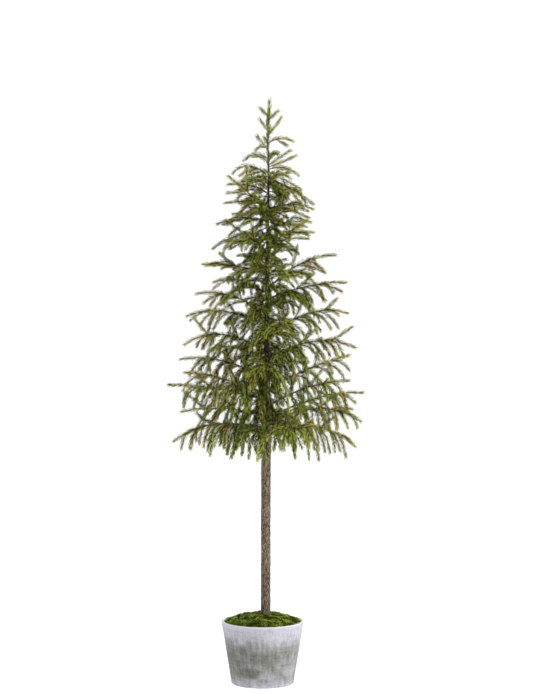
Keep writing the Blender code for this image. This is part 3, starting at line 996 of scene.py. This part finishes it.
def growTwigs(limbs, sprays, finish):
    look = twigLook
    limbLines = Strands([limb.points[1:] for limb in limbs])
    ends = np.array([limb.spraysEnd for limb in limbs])

    def limbRadius(share, strand):
        bare = np.array([limb.bare for limb in limbs])[strand]
        thick = np.where(bare > 0, growth["boughRadius"], growth["twigRadius"])
        return thick + (growth["twigTipRadius"] - thick) * np.clip(share / ends[strand], 0, 1)

    def shootRadius(share, strand):
        return stemLine["tipRadius"] * (1 - look["shootTaper"] * share)

    def stalkRadius(share, strand):
        return look["stalkRadius"] - look["stalkTaper"] * share

    mesh = bendTubes("boughs", limbLines, look["limbParts"], ends, limbRadius)
    noise.seed_set(look["roughSeed"])
    for vert in mesh.vertices:
        vert.co += Vector(noise.noise_vector(vert.co * look["roughScale"])) * look["rough"]
    addPiece(mesh, finish, "bark", *boughNodes, *massNodes)
    mesh = bendTubes("shoot", Strands([shootLine()]), look["shootParts"], 1.0, shootRadius)
    addPiece(mesh, finish, "bark", *massNodes)
    lines = Strands(sprays)
    end = 1 - look["stalkShort"] / lines.lengths
    mesh = bendTubes("stalks", lines, look["stalkParts"], end, stalkRadius)
    addPiece(mesh, Finish("stalk", look["stalk"], 0.85, 0.1), "bark", *massNodes)
    print("twigs:", len(limbs), "limbs,", len(sprays), "stalks")


mossLook = {
    "rings": 30,
    "steps": 110,
    "edge": 0.152,
    "rise": 0.021,
    "lump": 0.0052,
    "lumpScales": (42.0, 110.0),
    "clearance": 0.0006,  # from the pot's wall
    "tufts": 9000,
    "blades": 3,  # in each tuft
    "blade": 0.0040,
    "bladeWidth": 0.0010,
    "bladeCurve": 0.35,
    "tones": ((0.040, 0.064, 0.006), (0.175, 0.262, 0.022), (0.450, 0.580, 0.078)),
    "dead": 0.05,  # share of the blades that are brown
    "deadTone": (0.090, 0.062, 0.022),
    "soil": 0.0050,  # bare strip round the stem
    "bedTones": ((0.012, 0.016, 0.004), (0.060, 0.095, 0.014)),
    "seed": 5,
}


def mossHeight(x, y, radius):
    share = min(math.hypot(x, y) / radius, 1.0)
    coarse, fine = mossLook["lumpScales"]
    lumps = noise.noise(Vector((x, y, 0.0)) * coarse) + 0.6 * noise.noise(Vector((x, y, 3.0)) * fine)
    return mossLook["edge"] + mossLook["rise"] * (1 - share**2.4) + mossLook["lump"] * lumps


def growMoss():
    low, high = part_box("moss")
    radius = (high[0] - low[0]) / 2 - mossLook["clearance"]
    hole = stemLine["radius"] * 0.7
    dark, light = mossLook["bedTones"]
    finish = Finish("moss_bed", dark, 0.95, 0.1)
    grain = finish.noise(finish.places(), 300.0, 4.0, 0.7)
    finish.paint(finish.ramp(grain, (0.38, dark), (0.62, light)), grain, 0.002)
    bm = bmesh.new()
    rings = mossLook["rings"]
    line = [(hole + (radius - hole) * k / rings, 0) for k in range(rings + 1)]
    turnLine(bm, line, mossLook["steps"])
    for vert in bm.verts:
        share = (radius - math.hypot(vert.co.x, vert.co.y)) / (radius - hole)
        vert.co.x += stemLine["footX"] * share
        vert.co.z = mossHeight(vert.co.x, vert.co.y, radius)
    rim, ring = extrudeEdges(bm, [edge for edge in bm.edges if edge.is_boundary])
    for vert in ring:
        vert.co.z = low[2]
    bmesh.ops.holes_fill(bm, edges=rim)
    bmesh.ops.triangulate(bm, faces=[face for face in bm.faces if len(face.verts) > 4])
    bmesh.ops.recalc_face_normals(bm, faces=bm.faces[:])
    addPiece(meshOf(bm, "moss_bed"), finish, "moss", "moss")
    growTufts(radius)


def growTufts(radius):
    look = mossLook
    rng = np.random.default_rng(look["seed"])
    points, triangles = needleShape()
    count, blades = look["tufts"], look["blades"]
    span = radius * np.sqrt(rng.uniform(0.0, 1.0, count))
    turn = rng.uniform(0, math.tau, count)
    x, y = span * np.cos(turn), span * np.sin(turn)
    ragged = np.array([noise.noise(Vector((a, b, 5.0)) * 150.0) for a, b in zip(x, y)])
    bare = stemLine["radius"] + look["soil"] * (0.5 + ragged)
    clear = np.hypot(x - stemLine["footX"], y) > bare
    x, y = x[clear], y[clear]
    z = np.array([mossHeight(a, b, radius) for a, b in zip(x, y)])
    root = np.repeat(np.stack((x, y, z - 0.0006), axis=1), blades, axis=0)
    total = len(root)
    wayX, wayY = rng.normal(0, 0.75, total), rng.normal(0, 0.75, total)
    way = np.stack((wayX, wayY, rng.uniform(0.35, 1.0, total)), axis=1)
    way = unit(way + 0.4 * root * (1, 1, 0) / radius)
    length = look["blade"] * rng.uniform(0.6, 1.15, total)
    inside = radius - np.hypot(root[:, 0], root[:, 1])
    length = np.minimum(length, 0.0022 + inside * 0.8)
    side = np.cross(way, rng.normal(0, 1, (total, 3)))
    down = np.tile((0.0, 0.0, -1.0), (total, 1))
    rows = {"root": root, "way": way, "ahead": down, "side": side, "length": length}
    corners = needleCorners(rows, points, look["bladeWidth"], look["bladeCurve"])
    patch = np.repeat([noise.noise(Vector((a, b, 9.0)) * 60.0) for a, b in zip(x, y)], blades)
    order = np.argsort(patch + rng.normal(0, 0.22, total), kind="stable")
    living = np.ones(total, dtype=bool)
    living[rng.choice(total, round(total * look["dead"]), replace=False)] = False
    heaps = [chosen[living[chosen]] for chosen in np.array_split(order, len(look["tones"]))]
    heaps.append(np.nonzero(~living)[0])
    for number, (chosen, tone) in enumerate(zip(heaps, (*look["tones"], look["deadTone"]))):
        mesh = joinedMesh(f"moss_tufts_{number + 1}", corners[np.sort(chosen)], triangles)
        addPiece(mesh, Finish(mesh.name, tone, 0.8, 0.06), "moss", "moss")
    print("moss:", total, "blades")


potLook = {
    "steps": 160,
    "baseRadius": 0.0785,
    "wall": 0.0055,
    "floor": 0.010,
    "footRound": 0.003,
    "rimRound": 0.0024,
    "grooveDepth": 0.0008,  # of the incised line
    "groove": 0.0125,  # below the rim
    # painted highlight: the top of the rim, whiter than the wash anywhere else
    "lip": (0.760, 0.760, 0.800),
    "tints": (
        (0.02, (0.500, 0.496, 0.556)),
        (0.28, (0.375, 0.375, 0.410)),
        (0.52, (0.255, 0.256, 0.246)),
        (0.86, (0.130, 0.132, 0.112)),
    ),
    "bandTop": (0.158, 0.084),  # heights between which the wash thins out
    "bandFoot": (-0.016, 0.032),
    "band": 0.56,
    "paintedSideShade": 0.9,  # painted shade: the left is painted darker than the right, as if lit from the right
    "wear": (0.9, 0.6, 0.3, 0.6),  # of the blotches, the upward and the level streaks, the specks
    "uneven": 0.0005,  # thrown and rubbed by hand, so no wall is quite even
    "bump": 0.0007,
}
# soft patches on the front: across, height, half width, half height, how much clay shows
rubbedPatches = (
    (-0.043, 0.079, 0.052, 0.034, 0.14),
    (-0.030, 0.038, 0.036, 0.016, 0.26),
    (0.018, 0.074, 0.026, 0.032, 0.16),
    (-0.033, 0.068, 0.007, 0.026, -0.16),
    (0.008, 0.030, 0.030, 0.012, -0.18),
    (0.068, 0.040, 0.026, 0.022, -0.10),
    (0.056, 0.084, 0.034, 0.026, 0.10),
    (0.030, 0.122, 0.050, 0.014, -0.06),
    (-0.050, 0.124, 0.030, 0.018, -0.06),
)


def arc(centre, radius, start, end, steps):
    turns = [math.radians(start + (end - start) * k / steps) for k in range(steps + 1)]
    return [(centre[0] + radius * math.cos(t), centre[1] + radius * math.sin(t)) for t in turns]


def potFinish(height):
    # a thin white wash, rubbed off round the middle, over grey fired clay
    look = potLook
    finish = Finish("whitewash", look["lip"], 0.88, 0.2)
    places = finish.add("ShaderNodeTexCoord", {}, {}, "Object")
    x, y, z = (finish.add("ShaderNodeSeparateXYZ", {}, {"Vector": places}, axis) for axis in "XYZ")
    cloud = finish.noise(places, 19.0, 4.0, 0.62)
    drift = z + (cloud - 0.5) * 0.045
    band = finish.step(drift, *look["bandTop"]) * finish.step(drift, *look["bandFoot"])
    blotch = finish.noise(finish.places((1, 1, 0.7)), 60.0, 5.0, 0.72)
    upward = finish.noise(finish.places((1, 1, 0.10)), 150.0, 3.0, 0.6)
    across = finish.noise(finish.places((0.10, 0.10, 1)), 210.0, 2.0, 0.5)
    speck = finish.noise(places, 380.0, 3.0, 0.65)
    front = finish.step(y, 0.0, -0.04)
    wavy = (blotch - 0.5) * 1.4
    # wear of the wash, with painted shade: the band is darker on the left than on the right
    wearAndSideShade = band * look["band"] - x * look["paintedSideShade"] * band
    for middle, rise, wide, tall, amount in rubbedPatches:
        away = ((x - middle) / wide) ** 2 + ((z - rise) / tall) ** 2
        wearAndSideShade = wearAndSideShade + finish.step(away + wavy, 1.1, 0.0) * front * amount
    for pattern, amount in zip((blotch, upward, across, speck), look["wear"]):
        wearAndSideShade = wearAndSideShade + (pattern - 0.5) * amount
    tint = finish.ramp(wearAndSideShade, *look["tints"])
    # painted highlight on the top of the rim
    tint = finish.mix(finish.step(z, height - 0.0032, height - 0.0012), tint, look["lip"])
    relief = upward * 0.4 + across * 0.3 + speck * 0.5 + blotch * 0.8
    finish.paint(tint, relief, look["bump"], 0.7)
    return finish


def makePot():
    low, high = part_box("pot")
    height, rim = high[2] - low[2], (high[0] - low[0]) / 2
    base = potLook["baseRadius"]
    slope = (rim - base) / height
    lean = math.degrees(math.atan(slope))
    wall, foot, lip = potLook["wall"], potLook["footRound"], potLook["rimRound"]

    def outer(z):
        return base + slope * z

    groove, depth = height - potLook["groove"], potLook["grooveDepth"]
    line = [(0.0, 0.0)]
    line += arc((outer(foot) - foot, foot), foot, -90, -lean, 6)
    line += [(outer(groove * k / 24), groove * k / 24) for k in range(1, 24)]
    line += [(outer(groove - 2 * depth), groove - 2 * depth), (outer(groove) - depth, groove)]
    line += [(outer(groove + 2 * depth), groove + 2 * depth)]
    line += arc((outer(height - lip) - lip, height - lip), lip, -lean, 90, 8)
    line += arc((outer(height) - wall + lip * 0.4, height - lip), lip, 90, 180, 7)
    line += [(outer(potLook["floor"]) - wall, potLook["floor"]), (0.0, potLook["floor"])]
    bm = bmesh.new()
    turnLine(bm, line, potLook["steps"])
    bmesh.ops.remove_doubles(bm, verts=bm.verts[:], dist=0.00001)
    for vert in bm.verts:
        if vert.co.z > foot:
            out = Vector((vert.co.x, vert.co.y, 0)).normalized()
            swell = noise.noise(Vector((out.x * 2, out.y * 2, vert.co.z * 22)))
            vert.co -= out * potLook["uneven"] * (0.5 + 0.5 * swell)
    bmesh.ops.recalc_face_normals(bm, faces=bm.faces[:])
    mesh = meshOf(bm, "pot_shell")
    addPiece(mesh, potFinish(height), "pot", "pot")
    print("pot:", len(mesh.polygons), "faces")


fillingLook = {"dark": (0.020, 0.014, 0.010), "light": (0.090, 0.065, 0.045), "grain": 180.0}


def finishFilling():
    # the solid's own shape is kept
    look = fillingLook
    finish = Finish("filling", look["dark"], 0.95, 0.1)
    grain = finish.noise(finish.places(), look["grain"], 4.0, 0.7)
    tint = finish.ramp(grain, (0.35, look["dark"]), (0.65, look["light"]))
    finish.paint(tint, grain, 0.002)
    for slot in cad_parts["pot_fill"].material_slots:
        slot.material = finish.material
    print("filling: its own finish")


stage = {
    "floorRadius": 30.0,
    "floor": (0.80, 0.80, 0.80),
    "floorGlow": 0.66,
    "world": 0.48,  # as light; the backdrop itself is plain white
    "backdrop": 1.05,
    "cameraPlace": (0.0098, -3.9, 0.8444),
    "lens": 80.3,
    "lampsAim": (0, 0, 0.8),
}
lights = (
    # name, place, size, watts, colour
    ("key", (4.0, -1.8, 2.6), 1.4, 160.0, (1.0, 0.98, 0.95)),
    ("fill", (-2.6, -2.2, 1.8), 2.0, 12.0, (0.95, 0.97, 1.0)),
    ("back", (-0.8, 2.8, 3.0), 1.6, 40.0, (1.0, 1.0, 1.0)),
)


def makeStage():
    # a bright floor and a white backdrop, three lamps and the camera
    bm = bmesh.new()
    bmesh.ops.create_circle(bm, cap_ends=True, segments=96, radius=stage["floorRadius"])
    floor = newObject("floor", meshOf(bm, "floor"))
    finish = Finish("floor", stage["floor"], 0.9, 0.1)
    finish.set(finish.shader, "Emission Color", (1, 1, 1))
    finish.set(finish.shader, "Emission Strength", stage["floorGlow"])
    floor.data.materials.append(finish.material)
    world = bpy.data.worlds.new("world")
    tree = Tree(world)
    background = tree.nodes["Background"]
    seen = tree.add("ShaderNodeLightPath", {}, {}, "Is Camera Ray")
    ends = {"Value": seen, "To Min": stage["world"], "To Max": stage["backdrop"]}
    tree.set(background, "Color", (1, 1, 1))
    tree.set(background, "Strength", tree.add("ShaderNodeMapRange", {}, ends))
    bpy.context.scene.world = world
    aim = Vector(stage["lampsAim"])
    for name, place, size, watts, colour in lights:
        lamp = bpy.data.lights.new(name, "AREA")
        lamp.shape = "DISK"
        lamp.size = size
        lamp.energy = watts
        lamp.color = colour
        holder = newObject(name, lamp)
        holder.location = place
        holder.rotation_euler = (aim - Vector(place)).to_track_quat("-Z", "Y").to_euler()
    bpy.context.scene.view_settings.view_transform = "Standard"
    camera = bpy.data.cameras.new("camera")
    camera.lens = stage["lens"]
    camera.clip_end = 200.0
    holder = newObject("camera", camera)
    holder.location = stage["cameraPlace"]
    holder.rotation_euler = (math.radians(90), 0, 0)
    bpy.context.scene.camera = holder
    print("stage:", len(lights), "lamps and the camera")


limbs, sprays = growSolids()
print("sprays of the solids:", len(sprays))
finer = itertools.chain(*map(fillLimb, limbs), forkSprays(sprays), stemSprays())
extra = [points for points in finer if staysIn(points)]
sprays = sprays + extra
front = frontSprays(limbs)
print("finer sprays:", len(extra) + len(front))
bark = barkFinish()
growStem(bark)
growTwigs(limbs, sprays + front, bark)
growNeedles(limbs, sprays + front, *sprayTints(sprays, front))
growMoss()
makePot()
finishFilling()
makeStage()
